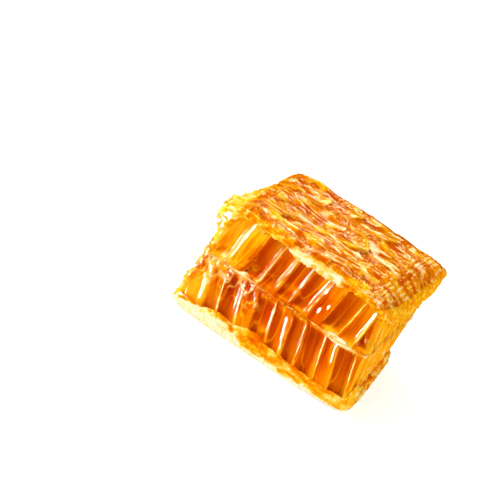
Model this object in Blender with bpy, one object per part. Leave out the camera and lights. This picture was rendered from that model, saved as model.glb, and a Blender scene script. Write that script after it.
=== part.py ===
"""A hand-cut chunk of capped comb honey, lying on its lower wax capping.

Five layers run through the piece, as its cut sides show: the wet wax capping on top, the upper honey
cells, the wax midrib, the lower honey cells and the capping that it rests on. The cells opened by the
knife are troughs in the sides of the two cell layers. Metres, +Z up, the front cut face looks to -Y,
and the origin is under the middle of the piece, on the surface that it stands on.
"""

import math

import bmesh
import bpy
from mathutils import Matrix, Vector

MM = 0.001

# Driving sizes of the chunk
LENGTH_TOP = 43.5 * MM
DEPTH = 41.5 * MM
DEPTH_MORE_RIGHT = 2.8 * MM
THICK_LEFT = 33.9 * MM
THICK_RIGHT = 32.4 * MM
REAR_RISE = 0.9 * MM
FLARE_LEFT = 5.4 * MM
FLARE_RIGHT = 4.2 * MM
FLARE_REAR = 1.9 * MM
CORNER_ROUNDING = 0.03
GAP = 0.3 * MM

# Driving sizes of the comb
CELL_PITCH = 5.5 * MM
CELL_WALL = 0.65 * MM
CELL_SLANT = math.radians(10)
LATTICE_TURN = math.radians(7)
UPPER_SHIFT = (0.0 * MM, 0.6 * MM)
LOWER_SHIFT = (1.6 * MM, 3.1 * MM)

# Heights of the seams between the layers, where the piece is of mean thickness
MEAN_THICK = (THICK_LEFT + THICK_RIGHT) / 2
BASE_SEAM = 3.0 * MM
MIDRIB_LOW = 16.2 * MM
MIDRIB_HIGH = 17.4 * MM
CAPPING_SEAM = 30.9 * MM
CAPPING_THICK = 1.6 * MM
SEAM_WAVE = 0.45 * MM
SEAM_WAVE_LENGTH = 24 * MM

# The top falls to a rounded right edge, and a little to the other three
SHOULDER_REACH = 6.5 * MM
SHOULDER_DROP = 2.4 * MM
EDGE_REACH = 3.0 * MM
EDGE_DROP = 0.3 * MM

# Wrinkles of the wet capping, long from left to right
WRINKLE_PITCH = 5.2 * MM
WRINKLE_HEIGHT = 0.42 * MM
WRINKLE_BEND = 2.2 * MM
LUMP_HEIGHT = 0.28 * MM

# Wax rims: the capping droops over the cuts, and the base capping stands up around them
SKIRT_THICK = 0.9 * MM
SKIRT_SHORTEST = 0.8 * MM
SKIRT_FLARE = 0.25 * MM
TEAR = 1.0 * MM
TEAR_LENGTH = 7 * MM
SKIRT_BEVEL = 0.1
RIM_SHARE = 0.55
FRONT_DROOP = 1.3 * MM
RIGHT_SMEAR = 6.5 * MM
REAR_DROOP = 2.0 * MM
FLAP_LENGTH = 12.0 * MM
FLAP_THICK = 2.8 * MM
LIP_HEIGHT = 3.6 * MM
LIP_HEIGHT_MORE = 1.0 * MM
LIP_SCALLOP_LENGTH = 13 * MM
LIP_HEAP = 1.5 * MM
LIP_HEAP_AT = 0.36
LIP_THICK = 0.9 * MM
LIP_SWELL = (0.2, 1.2, 0.6)
LIP_BEVEL = 0.25 * MM
LIP_LEAST = 0.6 * MM
LIP_RISE = 1.1 * MM
UNDERSIDE_UNEVEN = 0.25 * MM
MIDRIB_PROUD = 0.35 * MM
MIDRIB_TEAR = 0.3 * MM
MIDRIB_FLAP = 2.4 * MM
MIDRIB_TEAR_LENGTH = 5.2 * MM

# Cells opened by the knife, as far as the honey left in them lets it show
TROUGH_SHALLOWEST = 1.2 * MM
TROUGH_DEEPEST = 3.0 * MM
TROUGH_FLOOR = 1.0 * MM
TROUGH_TIP = 1.8 * MM
TIP_WIDTH = 0.45
OPENED_LEAST = 0.7 * MM

BASE_RIM_STEPS = len(LIP_SWELL) - 1
CAPPING_RIM_STEPS = 3


def clear_scene():
    for obj in list(bpy.data.objects):
        bpy.data.objects.remove(obj)


def collection(name):
    made = bpy.data.collections.new(name)
    bpy.context.scene.collection.children.link(made)
    return made


def principled(name, color, roughness):
    """A plain food material: its colour and how wet it looks."""
    made = bpy.data.materials.new(name)
    made.use_nodes = True
    shader = made.node_tree.nodes["Principled BSDF"]
    shader.inputs["Base Color"].default_value = (*color, 1.0)
    shader.inputs["Roughness"].default_value = roughness
    shader.inputs["Metallic"].default_value = 0.0
    return made


def wave(x, y, seed, length):
    """Smooth uneven swell from about -1 to 1: four sines across different directions, each shorter and
    weaker than the last."""
    total = 0.0
    for k in range(4):
        turn = 2.4 * seed + 1.9 * k
        along = (x * math.cos(turn) + y * math.sin(turn)) * 2 * math.pi / length
        total += math.sin(along * (0.8 + 0.45 * k) + 3.7 * seed + 2.1 * k) / (1 + 0.5 * k)
    return total / 2.2


def ease(share):
    share = min(1.0, max(0.0, share))
    return share * share * (3 - 2 * share)


def thickness(x):
    """The comb thins from its left end to its right end."""
    share = min(1.0, max(0.0, x / LENGTH_TOP + 0.5))
    return THICK_LEFT + (THICK_RIGHT - THICK_LEFT) * share


def left_edge(y, z):
    """The left cut leans out towards the front bottom corner."""
    return -LENGTH_TOP / 2 - FLARE_LEFT * (0.5 - y / DEPTH) * (1 - z / MEAN_THICK)


def right_edge(y, z):
    """The right cut leans out towards the front bottom corner as well, and towards the rear top corner."""
    front, top = 0.5 - y / DEPTH, z / MEAN_THICK
    return LENGTH_TOP / 2 + FLARE_RIGHT * front * (1 - top) + FLARE_REAR * (1 - front) * top


def rear_edge(x):
    """The rear cut runs away from the front one towards the right."""
    return DEPTH / 2 + DEPTH_MORE_RIGHT * (x / LENGTH_TOP + 0.5)


def spot(across, back, height):
    """The point at shares across (0 left, 1 right) and back (0 front, 1 rear), at a height that counts
    where the piece is of mean thickness. The upright corners are a little rounded."""
    a, b = 2 * across - 1, 2 * back - 1
    y_share = (b * (1 - CORNER_ROUNDING * abs(a) ** 9) + 1) / 2
    x_share = (a * (1 - CORNER_ROUNDING * abs(b) ** 9) + 1) / 2
    y = -DEPTH / 2 + y_share * (DEPTH + DEPTH_MORE_RIGHT * across)
    low, high = left_edge(y, height), right_edge(y, height)
    x = low + (high - low) * x_share
    return Vector((x, y, height * (thickness(x) + REAR_RISE * back) / MEAN_THICK))


def seam(across, back, height, seed):
    """The height of a wavy seam between two layers."""
    flat = spot(across, back, height)
    return height + SEAM_WAVE * wave(flat.x, flat.y, seed, SEAM_WAVE_LENGTH)


def shoulder(across, back):
    """How far the top falls near its four edges, most of all near the middle of the right one."""
    fall = max(0.0, 1 - (1 - across) * LENGTH_TOP / SHOULDER_REACH) ** 2
    fall *= SHOULDER_DROP * (0.45 + 2.2 * back * (1 - back))
    for distance in (across * LENGTH_TOP, back * DEPTH, (1 - back) * DEPTH):
        fall += EDGE_DROP * max(0.0, 1 - distance / EDGE_REACH) ** 2
    return fall


def top_seam(across, back):
    return seam(across, back, CAPPING_SEAM, 4.0) - shoulder(across, back)


def wrinkle(across, back):
    """Height of the capping above its mean surface: long wrinkles from left to right, and lumps over the
    cells that it closes."""
    x, y = (across - 0.5) * LENGTH_TOP, (back - 0.5) * DEPTH
    bent = y + WRINKLE_BEND * wave(x, y, 2.0, 34 * MM)
    ridges = math.sin(2 * math.pi * bent / WRINKLE_PITCH) * (0.6 + 0.4 * wave(x, y, 5.0, 19 * MM))
    return WRINKLE_HEIGHT * ridges + LUMP_HEIGHT * wave(x, y, 9.0, 11 * MM)


def rim_sides(way):
    """Weights of the left, right, front and rear sides for a rim point that looks this way."""
    both = abs(way.x) + abs(way.y)
    return max(-way.x, 0) / both, max(way.x, 0) / both, max(-way.y, 0) / both, max(way.y, 0) / both


def skirt_length(across, back, sides):
    """How far the capping hangs down over the cut: a thin drooping ribbon in front, a smear over the right
    edge, and a long torn flap at the front of the left edge."""
    left, right, front, rear = sides
    place = spot(across, back, CAPPING_SEAM)
    torn = TEAR * wave(place.x, place.y, 3.0, TEAR_LENGTH)
    ribbon = FRONT_DROOP * (0.55 + 0.75 * ease((across - 0.15) / 0.3)) + 0.5 * torn
    smear = RIGHT_SMEAR * (0.55 + 0.25 * back) + 1.6 * torn
    flap = REAR_DROOP + (FLAP_LENGTH - REAR_DROOP) * ease((0.5 - back) / 0.3) + 1.1 * torn
    behind = REAR_DROOP + 0.9 * torn
    return max(SKIRT_SHORTEST, left * flap + right * smear + front * ribbon + rear * behind)


def skirt_thickness(back, down, sides):
    """How thick the skirt is at a share of its way down. The flap is a crumpled mass, thickest half way."""
    flap = sides[0] * FLAP_THICK * ease((0.6 - back) / 0.4) * math.sin(math.pi * min(1.0, down + 0.15)) ** 0.7
    return SKIRT_THICK * (1.15 - 0.45 * down) + flap


def lip_top(across, back, sides):
    """Height that the base capping reaches up the cut: scalloped, thin at the front left corner."""
    front = sides[2]
    place = spot(across, back, 0.0)
    high = LIP_HEIGHT + LIP_HEIGHT_MORE * wave(place.x, place.y, 6.0, LIP_SCALLOP_LENGTH)
    heap = LIP_HEAP * math.exp(-(((across - LIP_HEAP_AT) / 0.2) ** 2)) * front
    high *= 1 - 0.35 * front * ease((0.16 - across) / 0.16)
    return max(BASE_SEAM + LIP_LEAST, high + heap)


def lofted(name, columns, rows, rim, low_point, high_point):
    """A closed sheet: a grid extruded once, with its first copy moved to the low surface and its second to
    the high one. The outer steps of the grid are the rim, which turns up or down outside the cut sides."""
    bm = bmesh.new()
    bmesh.ops.create_grid(bm, x_segments=columns + 2 * rim, y_segments=rows + 2 * rim, size=0.5)
    under = list(bm.verts)
    grown = bmesh.ops.extrude_face_region(bm, geom=list(bm.faces), use_keep_orig=True)
    over = [item for item in grown["geom"] if isinstance(item, bmesh.types.BMVert)]
    for verts, point in ((under, low_point), (over, high_point)):
        for vert in verts:
            i = (vert.co.x + 0.5) * (columns + 2 * rim) - rim
            j = (vert.co.y + 0.5) * (rows + 2 * rim) - rim
            vert.co = point(*grid_place(i, columns), *grid_place(j, rows), rim)
    bmesh.ops.recalc_face_normals(bm, faces=bm.faces)
    if bm.calc_volume(signed=True) < 0:
        bmesh.ops.reverse_faces(bm, faces=bm.faces)
    mesh = bpy.data.meshes.new(name)
    bm.to_mesh(mesh)
    bm.free()
    return bpy.data.objects.new(name, mesh)


def grid_place(step, steps):
    """(share, side, rings): the share along one direction, which end it is at, and rim steps past it."""
    step = round(step)
    side = (step >= steps) - (step <= 0)
    return min(1.0, max(0.0, step / steps)), side, max(0, -step, step - steps)


def rim_direction(side_x, rings_x, side_y, rings_y):
    """Which way a rim point looks. Past a corner, it fans out from one side to the other."""
    if rings_x != rings_y:
        side_x, side_y = side_x * rings_x, side_y * rings_y
    way = Vector((side_x, side_y, 0.0))
    return way.normalized() if way.length else way


def layer_surface(height_of):
    """A surface at a height, as far as the cut sides."""

    def point(across, _side_x, _rings_x, back, _side_y, _rings_y, _rim):
        return spot(across, back, height_of(across, back))

    return point


def midrib_surface(height_of):
    """A surface at a height, whose torn rim stands out of the cuts, most of all at the front left corner."""

    def point(across, side_x, _rings_x, back, side_y, _rings_y, _rim):
        place = spot(across, back, height_of(across, back))
        out = MIDRIB_PROUD + MIDRIB_TEAR * wave(place.x, place.y, 7.0, MIDRIB_TEAR_LENGTH)
        if side_x < 0:
            out += MIDRIB_FLAP * ease((0.4 - back) / 0.4)
        return place + rim_direction(side_x, 0, side_y, 0) * out

    return point


def capping_surface(inner):
    """The top capping: its inner face runs over the cells and down outside the cuts, and its outer face
    is wrinkled and turns down round the edge."""

    def point(across, side_x, rings_x, back, side_y, rings_y, rim):
        way = rim_direction(side_x, rings_x, side_y, rings_y)
        rings = max(rings_x, rings_y)
        base = top_seam(across, back)
        if not side_x and not side_y:
            height = GAP / 2 if inner else CAPPING_THICK + wrinkle(across, back)
            return spot(across, back, base + height)
        sides = rim_sides(way)
        down = rings / rim
        out = GAP + SKIRT_FLARE * down
        if inner:
            height = GAP / 2 - skirt_length(across, back, sides) * down
        elif rings == 0:
            height = RIM_SHARE * (CAPPING_THICK + wrinkle(across, back))
            out += SKIRT_THICK * 0.75
        else:
            height = -skirt_length(across, back, sides) * (down - SKIRT_BEVEL)
            out += skirt_thickness(back, down, sides)
        return spot(across, back, base + height) + way * out

    return point


def base_surface(inner):
    """The base capping: a flat underside, and a scalloped lip that stands up outside the cuts."""

    def point(across, side_x, rings_x, back, side_y, rings_y, rim):
        way = rim_direction(side_x, rings_x, side_y, rings_y)
        rings = max(rings_x, rings_y)
        floor = seam(across, back, BASE_SEAM, 1.0) - GAP / 2
        if not side_x and not side_y:
            place = spot(across, back, floor if inner else 0.0)
            uneven = Vector((wave(place.y, place.x, 3.0, 6 * MM), wave(place.x, place.y, 5.0, 6 * MM), 0))
            return place + UNDERSIDE_UNEVEN * uneven
        top = lip_top(across, back, rim_sides(way))
        if inner:
            height = floor + (top - floor) * rings / rim
            return spot(across, back, height) + way * GAP
        turned_up = LIP_RISE * max(0.0, 2 * abs(2 * across - 1) - 1) ** 1.5
        height = turned_up + (top - turned_up - LIP_BEVEL) * rings / rim
        return spot(across, back, height) + way * (GAP + LIP_THICK * LIP_SWELL[rings])

    return point


def cell_shade(row, column):
    """An even scatter of numbers from 0 to 1, one for each cell of the lattice."""
    return math.modf(abs(math.sin(row * 12.9898 + column * 78.233 + 1.7)) * 43.7585)[0]


def depth_behind(side, x, y, z):
    """How deep a point lies behind one of the four cut sides."""
    if side == "front":
        return y + DEPTH / 2
    if side == "rear":
        return rear_edge(x) - y
    return x - left_edge(y, z) if side == "left" else right_edge(y, z) - x


def inward(side, point):
    """The direction into the piece from a cut side, near a point."""
    here = depth_behind(side, *point)
    slope = [depth_behind(side, *(point + step)) - here for step in Matrix.Identity(3) * MM]
    return Vector(slope).normalized()


def opened_cell(centre, low, high, tip_low, side, limit):
    """One cell opened by the knife: a six-sided prism with a blunt tip at its midrib end, leaning with the
    comb. The honey left in it stops it at limit behind the cut."""
    bm = bmesh.new()
    radius = (CELL_PITCH - CELL_WALL) / math.sqrt(3)
    bmesh.ops.create_cone(
        bm,
        cap_ends=True,
        segments=6,
        radius1=radius,
        radius2=radius,
        depth=high - low - TROUGH_TIP,
        matrix=Matrix.Rotation(math.pi / 2 + LATTICE_TURN, 4, "Z"),
    )
    caps = sorted(bm.faces, key=lambda face: face.calc_center_median().z)
    end = caps[0] if tip_low else caps[-1]
    grown = bmesh.ops.extrude_face_region(bm, geom=[end])
    bmesh.ops.delete(bm, geom=[end], context="FACES_ONLY")
    step = -TROUGH_TIP if tip_low else TROUGH_TIP
    for vert in (item for item in grown["geom"] if isinstance(item, bmesh.types.BMVert)):
        vert.co = Vector((vert.co.x * TIP_WIDTH, vert.co.y * TIP_WIDTH, vert.co.z + step))
    middle = (low + high - step) / 2
    root = low if tip_low else high
    for vert in bm.verts:
        z = vert.co.z + middle
        lean = math.tan(CELL_SLANT) * abs(z - root)
        vert.co = Vector((vert.co.x + centre[0] + lean, vert.co.y + centre[1], z))
    core = Vector((centre[0] + math.tan(CELL_SLANT) * (high - low) / 2, centre[1], (low + high) / 2))
    way = inward(side, core)
    fill_face = core + way * (limit - depth_behind(side, *core))
    cut_open = bmesh.ops.bisect_plane(
        bm, geom=bm.verts[:] + bm.edges[:] + bm.faces[:], plane_co=fill_face, plane_no=way, clear_outer=True
    )
    bmesh.ops.contextual_create(
        bm, geom=[item for item in cut_open["geom_cut"] if isinstance(item, bmesh.types.BMEdge)]
    )
    mesh = bpy.data.meshes.new("opened cell")
    bm.to_mesh(mesh)
    bm.free()
    return mesh


def nearest_side(point):
    return min(("front", "rear", "left", "right"), key=lambda side: depth_behind(side, *point))


def knife_cells(name, shift, low, high, tip_low):
    """All cells of a layer that the four cuts opened, as one cutter."""
    bm = bmesh.new()
    reach = (CELL_PITCH - CELL_WALL) / 2
    turn = Matrix.Rotation(LATTICE_TURN, 2)
    lean = math.tan(CELL_SLANT) * (high - low) / 2
    for row in range(-8, 9):
        for column in range(-7, 8):
            plan = turn @ Vector(
                (row * CELL_PITCH * math.sqrt(3) / 2, (column + 0.5 * (row % 2)) * CELL_PITCH)
            )
            centre = (plan.x + shift[0], plan.y + shift[1])
            core = Vector((centre[0] + lean, centre[1], (low + high) / 2))
            side = nearest_side(core)
            if not -reach + OPENED_LEAST < depth_behind(side, *core) < reach:
                continue
            limit = TROUGH_SHALLOWEST + (TROUGH_DEEPEST - TROUGH_SHALLOWEST) * cell_shade(row, column)
            mesh = opened_cell(centre, low, high, tip_low, side, limit)
            bm.from_mesh(mesh)
            bpy.data.meshes.remove(mesh)
    bmesh.ops.recalc_face_normals(bm, faces=bm.faces)
    mesh = bpy.data.meshes.new(name)
    bm.to_mesh(mesh)
    bm.free()
    return bpy.data.objects.new(name, mesh)


def cut(obj, cutter):
    modifier = obj.modifiers.new("opened cells", "BOOLEAN")
    modifier.operation = "DIFFERENCE"
    modifier.solver = "EXACT"
    modifier.object = cutter


def centred(objects):
    """Moves everything so that the middle of the piece is over the origin."""
    xs = [vert.co.x for obj in objects for vert in obj.data.vertices]
    ys = [vert.co.y for obj in objects for vert in obj.data.vertices]
    middle = Vector(((min(xs) + max(xs)) / 2, (min(ys) + max(ys)) / 2, 0.0))
    for obj in bpy.data.objects:
        obj.location = -middle


def main():
    clear_scene()
    pieces = collection("honeycomb_chunk")
    cutters = collection("cutters")
    cutters.hide_render = True

    base = lofted("capping_lower", 24, 20, BASE_RIM_STEPS, base_surface(False), base_surface(True))
    cells_lower = lofted(
        "cells_lower",
        16,
        14,
        0,
        layer_surface(lambda a, b: seam(a, b, BASE_SEAM, 1.0) + GAP / 2),
        layer_surface(lambda a, b: seam(a, b, MIDRIB_LOW, 2.0) - GAP / 2),
    )
    midrib = lofted(
        "midrib",
        20,
        16,
        0,
        midrib_surface(lambda a, b: seam(a, b, MIDRIB_LOW, 2.0) + GAP / 2),
        midrib_surface(lambda a, b: seam(a, b, MIDRIB_HIGH, 2.0) - GAP / 2),
    )
    cells_upper = lofted(
        "cells_upper",
        16,
        14,
        0,
        layer_surface(lambda a, b: seam(a, b, MIDRIB_HIGH, 2.0) + GAP / 2),
        layer_surface(lambda a, b: top_seam(a, b) - GAP / 2),
    )
    capping = lofted(
        "capping_upper", 28, 24, CAPPING_RIM_STEPS, capping_surface(True), capping_surface(False)
    )

    lower_cut = knife_cells(
        "opened_lower", LOWER_SHIFT, -1 * MM, MIDRIB_LOW - TROUGH_FLOOR, tip_low=False
    )
    upper_cut = knife_cells(
        "opened_upper", UPPER_SHIFT, MIDRIB_HIGH + TROUGH_FLOOR, MEAN_THICK + 2 * MM, tip_low=True
    )
    for cutter in (lower_cut, upper_cut):
        cutters.objects.link(cutter)
        cutter.hide_render = True
        cutter.display_type = "WIRE"
    cut(cells_lower, lower_cut)
    cut(cells_upper, upper_cut)

    coats = (
        (base, principled("beeswax base capping", (0.86, 0.6, 0.22), 0.35)),
        (cells_lower, principled("comb honey, lower cells", (0.75, 0.17, 0.005), 0.12)),
        (midrib, principled("beeswax midrib", (0.8, 0.42, 0.08), 0.4)),
        (cells_upper, principled("comb honey, upper cells", (0.8, 0.2, 0.006), 0.12)),
        (capping, principled("wet beeswax capping", (0.85, 0.42, 0.05), 0.2)),
    )
    for obj, coat in coats:
        pieces.objects.link(obj)
        obj.data.materials.append(coat)
    centred([obj for obj, _coat in coats])


main()
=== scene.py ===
"""A chunk of capped comb honey on a white floor: two layers of wet cells that a knife opened, back to back on
a wax midrib, between crumpled wax cappings.

Every surface is computed from the sizes of the comb. The solid part is divided the same way, so the pieces
here lie on its nodes. Sizes are in millimetres until mesh_piece makes them metres.
"""

import math

import bpy
import numpy as np
from mathutils import Matrix, Vector


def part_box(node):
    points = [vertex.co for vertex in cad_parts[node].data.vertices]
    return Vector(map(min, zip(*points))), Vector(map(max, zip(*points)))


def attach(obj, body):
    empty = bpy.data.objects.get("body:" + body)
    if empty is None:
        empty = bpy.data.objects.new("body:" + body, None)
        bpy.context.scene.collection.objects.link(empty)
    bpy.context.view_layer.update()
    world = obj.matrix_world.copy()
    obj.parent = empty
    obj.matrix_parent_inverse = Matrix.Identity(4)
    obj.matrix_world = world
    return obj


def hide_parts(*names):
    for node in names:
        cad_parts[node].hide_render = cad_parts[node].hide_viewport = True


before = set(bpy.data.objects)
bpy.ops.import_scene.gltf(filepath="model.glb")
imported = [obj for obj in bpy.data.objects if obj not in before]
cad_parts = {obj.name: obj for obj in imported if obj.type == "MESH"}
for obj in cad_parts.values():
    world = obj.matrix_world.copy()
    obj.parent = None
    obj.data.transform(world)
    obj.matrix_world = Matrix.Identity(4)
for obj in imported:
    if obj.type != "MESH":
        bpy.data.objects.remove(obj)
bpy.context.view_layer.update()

# Driving sizes of the chunk, as in the solid part
LENGTH_TOP = 43.5
DEPTH = 41.5
DEPTH_MORE_RIGHT = 2.8
THICK_LEFT = 33.9
THICK_RIGHT = 32.4
REAR_RISE = 0.9
FLARE_LEFT = 5.4
FLARE_RIGHT = 4.2
FLARE_REAR = 1.9
CORNER_ROUNDING = 0.03
GAP = 0.3

CELL_PITCH = 5.5
CELL_WALL = 0.65
CELL_SLANT = math.radians(10)
LATTICE_TURN = math.radians(7)
UPPER_SHIFT = (0.0, 0.6)
LOWER_SHIFT = (1.6, 3.1)

MEAN_THICK = (THICK_LEFT + THICK_RIGHT) / 2
BASE_SEAM = 3.0
MIDRIB_LOW = 16.2
MIDRIB_HIGH = 17.4
CAPPING_SEAM = 30.9
CAPPING_THICK = 1.6
SEAM_WAVE = 0.45
SEAM_WAVE_LENGTH = 24

SHOULDER_REACH = 6.5
SHOULDER_DROP = 2.4
EDGE_REACH = 3.0
EDGE_DROP = 0.3

WRINKLE_PITCH = 5.2
WRINKLE_HEIGHT = 0.42
WRINKLE_BEND = 2.2
LUMP_HEIGHT = 0.28

SKIRT_THICK = 0.9
SKIRT_SHORTEST = 0.8
SKIRT_FLARE = 0.25
TEAR = 1.0
TEAR_LENGTH = 7
FRONT_DROOP = 1.3
RIGHT_SMEAR = 6.5
REAR_DROOP = 2.0
FLAP_LENGTH = 12.0
FLAP_THICK = 2.8
LIP_HEIGHT = 3.6
LIP_HEIGHT_MORE = 1.0
LIP_SCALLOP_LENGTH = 13
LIP_HEAP = 1.5
LIP_HEAP_AT = 0.36
LIP_THICK = 0.9
LIP_LEAST = 0.6
LIP_RISE = 1.1
MIDRIB_PROUD = 0.35
MIDRIB_TEAR = 0.3
MIDRIB_TEAR_LENGTH = 5.2
MIDRIB_FLAP = 2.4

# Where along the front the capping hangs as a ribbon, in shares of it
RIBBON_FROM, RIBBON_TO, RIBBON_FADE = 0.34, 0.78, 0.08

# How deep honey lies in the cells, how far their walls wander, and how proud and wide the ruffled wax is at
# the near left corner
TROUGH_SHALLOWEST = 1.2
TROUGH_DEEPEST = 3.0
WALL_WANDER = 0.45
LEFT_RUFFLE = 1.5
LEFT_RUFFLE_WIDE = 9.0
# The wax tangled round the left end of the midrib: its share of the front, how high it is, how far it stands
TANGLE_TO, TANGLE_FADE = 0.43, 0.14
TANGLE_HIGH, TANGLE_HIGH_FADE = 9.0, 6.0
TANGLE_PROUD = 0.9
# How far the cells reach into the midrib, and how far they are lifted from the seams of the cappings
MIDRIB_LAP, SEAM_LIFT = 0.4, 0.1
# The places along the front where the midrib is twisted, with how much, and how wide such a place is
MIDRIB_TWISTS = ((0.83, 1.0), (0.2, 0.55))
TWIST_WIDE = 0.09
# How high wax is smeared up the right end
WAX_UP_RIGHT = 4.0

# Steps of the fine surfaces, and over how many of them a film of honey softens the cells
FRONT_STEPS, RIGHT_STEPS, REAR_STEPS, LEFT_STEPS = 570, 370, 260, 290
LAYER_ROWS = 64
TOP_COLUMNS, TOP_ROWS = 290, 224
SKIRT_RINGS = 22
MIDRIB_RINGS = 13
FILM_STEPS = 3

# The camera is where the photograph's was, seen from the piece, in degrees and mm
CAMERA_AZIMUTH = 12.64
CAMERA_ELEVATION = 22.43
CAMERA_ROLL = math.radians(28.43)
CAMERA_LENS = 174.3
CAMERA_DISTANCE = 600
AIM_FROM_CORNER = (6.8, 0.0, 23.8)

# How bright the white room is as a light, in the surfaces that mirror it, and to the camera
WORLD_LIGHT = 0.7
WORLD_MIRRORED = 0.012
WORLD_SEEN = 1.05

# Large primes and odd numbers that scatter whole numbers evenly
HASH_X, HASH_Y, HASH_Z, HASH_SEED = 73856093, 19349663, 83492791, 2654435761
HASH_FIRST, HASH_SECOND = 1274126177, 911382323
HASH_BITS = 0x7FFFFFFF


def clamp(share):
    """The number held between 0 and 1."""
    return np.clip(share, 0.0, 1.0)


def ease(share):
    """From 0 to 1 with a soft start and end: three times the square less twice the cube, held at both."""
    share = clamp(share)
    return share * share * (3 - 2 * share)


def wave(x, y, seed, length):
    """Smooth uneven swell from about -1 to 1: four sines, each its own way, shorter and weaker each time."""
    total = 0.0
    for k in range(4):
        turn = 2.4 * seed + 1.9 * k
        along = (x * math.cos(turn) + y * math.sin(turn)) * 2 * math.pi / length
        total = total + np.sin(along * (0.8 + 0.45 * k) + 3.7 * seed + 2.1 * k) / (1 + 0.5 * k)
    return total / 2.2


def hashed(mixed):
    """An even number from 0 to 1 for each whole number: folded on itself, multiplied and cut off, twice."""
    mixed = (mixed ^ (mixed >> 13)) * HASH_FIRST & HASH_BITS
    return ((mixed ^ (mixed >> 11)) * HASH_SECOND & HASH_BITS) / HASH_BITS


def lattice_noise(points, seed):
    """Noise from -1 to 1 at points given in lattice steps: random values at whole points, eased between."""
    whole = np.floor(points).astype(np.int64)
    part = ease(points - whole)
    total = np.zeros(len(points))
    for corner in range(8):
        step = np.array([corner & 1, corner >> 1 & 1, corner >> 2 & 1])
        at = whole + step
        mixed = (at[:, 0] * HASH_X) ^ (at[:, 1] * HASH_Y) ^ (at[:, 2] * HASH_Z) ^ (seed * HASH_SEED)
        weight = np.prod(np.where(step, part, 1 - part), axis=1)
        total += weight * (hashed(mixed) * 2 - 1)
    return total


def lattice_points(x, y, z, size):
    """Places as one list of points, in lattice steps of that size in mm along each axis."""
    return np.stack([np.ravel(x) / size[0], np.ravel(y) / size[1], np.ravel(z) / size[2]], axis=1)


def rough(x, y, z, size, seed, octaves=3):
    """Layered noise from about -1 to 1, of that largest size in mm along each axis, each layer half as large
    and half as strong as the one before."""
    points = lattice_points(x, y, z, size)
    total = sum(lattice_noise(points * 2**k, seed + 17 * k) / 2**k for k in range(octaves))
    return (total / 1.6).reshape(np.shape(x))


def creased(x, y, z, size, seed, octaves=3):
    """Noise with sharp crests, from 0 to 1: layers as in rough, each the square of what its noise, taken
    without its sign, leaves of one."""
    points = lattice_points(x, y, z, size)
    total = sum((1 - np.abs(lattice_noise(points * 2**k, seed + 31 * k))) ** 2 / 2**k for k in range(octaves))
    return (total / sum(0.5**k for k in range(octaves))).reshape(np.shape(x))


def scatter(columns, rows, seed):
    """An even number from 0 to 1 for each whole column and row: both and the seed, hashed."""
    return hashed((columns * HASH_X) ^ (rows * HASH_Y) ^ (seed * HASH_Z))


def facets(x, y, size, seed):
    """Splits the plane into patches, each of the points nearest to one scattered middle. Gives the height
    of a sheet tilted its own way in each patch, a number for each patch, and how much further away the
    second nearest middle is, which is nothing at a border."""
    u, v = x / size[0], y / size[1]
    column, row = np.floor(u).astype(np.int64), np.floor(v).astype(np.int64)
    nearest, second = np.full(x.shape, 9.0), np.full(x.shape, 9.0)
    tilt, number = np.zeros(x.shape), np.zeros(x.shape)
    for i in (-1, 0, 1):
        for j in (-1, 0, 1):
            c, r = column + i, row + j
            du = u - c - scatter(c, r, seed)
            dv = v - r - scatter(c, r, seed + 1)
            distance = np.sqrt(du * du + dv * dv)
            lean_x, lean_y = scatter(c, r, seed + 2) - 0.5, scatter(c, r, seed + 3) - 0.5
            sheet = du * lean_x * size[0] + dv * lean_y * size[1]
            closer = distance < nearest
            second = np.where(closer, nearest, np.minimum(second, distance))
            tilt, number = np.where(closer, sheet, tilt), np.where(closer, scatter(c, r, seed + 4), number)
            nearest = np.where(closer, distance, nearest)
    return tilt, number, second - nearest


# The form of the chunk


def left_edge(y, z):
    """x of the left end: half the top length, and a flare that grows downward and to the front."""
    return -LENGTH_TOP / 2 - FLARE_LEFT * (0.5 - y / DEPTH) * (1 - z / MEAN_THICK)


def right_edge(y, z):
    """x of the right end: half the top length, a flare that grows downward at the front, and one that grows
    upward at the rear."""
    front, top = 0.5 - y / DEPTH, z / MEAN_THICK
    return LENGTH_TOP / 2 + FLARE_RIGHT * front * (1 - top) + FLARE_REAR * (1 - front) * top


def spot(across, back, height):
    """x, y, z at shares across and back of the plan, at a height counted where the chunk is of mean
    thickness. Ninth powers round the plan's corners, x runs from the left edge to the right one, and the
    height is scaled by how thick the chunk is there."""
    a, b = 2 * across - 1, 2 * back - 1
    y_share = (b * (1 - CORNER_ROUNDING * np.abs(a) ** 9) + 1) / 2
    x_share = (a * (1 - CORNER_ROUNDING * np.abs(b) ** 9) + 1) / 2
    y = -DEPTH / 2 + y_share * (DEPTH + DEPTH_MORE_RIGHT * across)
    low, high = left_edge(y, height), right_edge(y, height)
    x = low + (high - low) * x_share
    thick = THICK_LEFT + (THICK_RIGHT - THICK_LEFT) * clamp(x / LENGTH_TOP + 0.5) + REAR_RISE * back
    return np.stack([x, y, height * thick / MEAN_THICK], axis=-1)


def seam(across, back, height, seed):
    """Height of a seam over the plan: its mean height and a wave of its own seed."""
    flat = spot(across, back, height)
    return height + SEAM_WAVE * wave(flat[..., 0], flat[..., 1], seed, SEAM_WAVE_LENGTH)


def shoulder(across, back):
    """How far the top's seam falls near its edges: by the square of the nearness to the right edge, most in
    the middle of the depth, and by a little of the same kind along the other three edges."""
    fall = clamp(1 - (1 - across) * LENGTH_TOP / SHOULDER_REACH) ** 2
    fall = fall * SHOULDER_DROP * (0.45 + 2.2 * back * (1 - back))
    for distance in (across * LENGTH_TOP, back * DEPTH, (1 - back) * DEPTH):
        fall = fall + EDGE_DROP * clamp(1 - distance / EDGE_REACH) ** 2
    return fall


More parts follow.
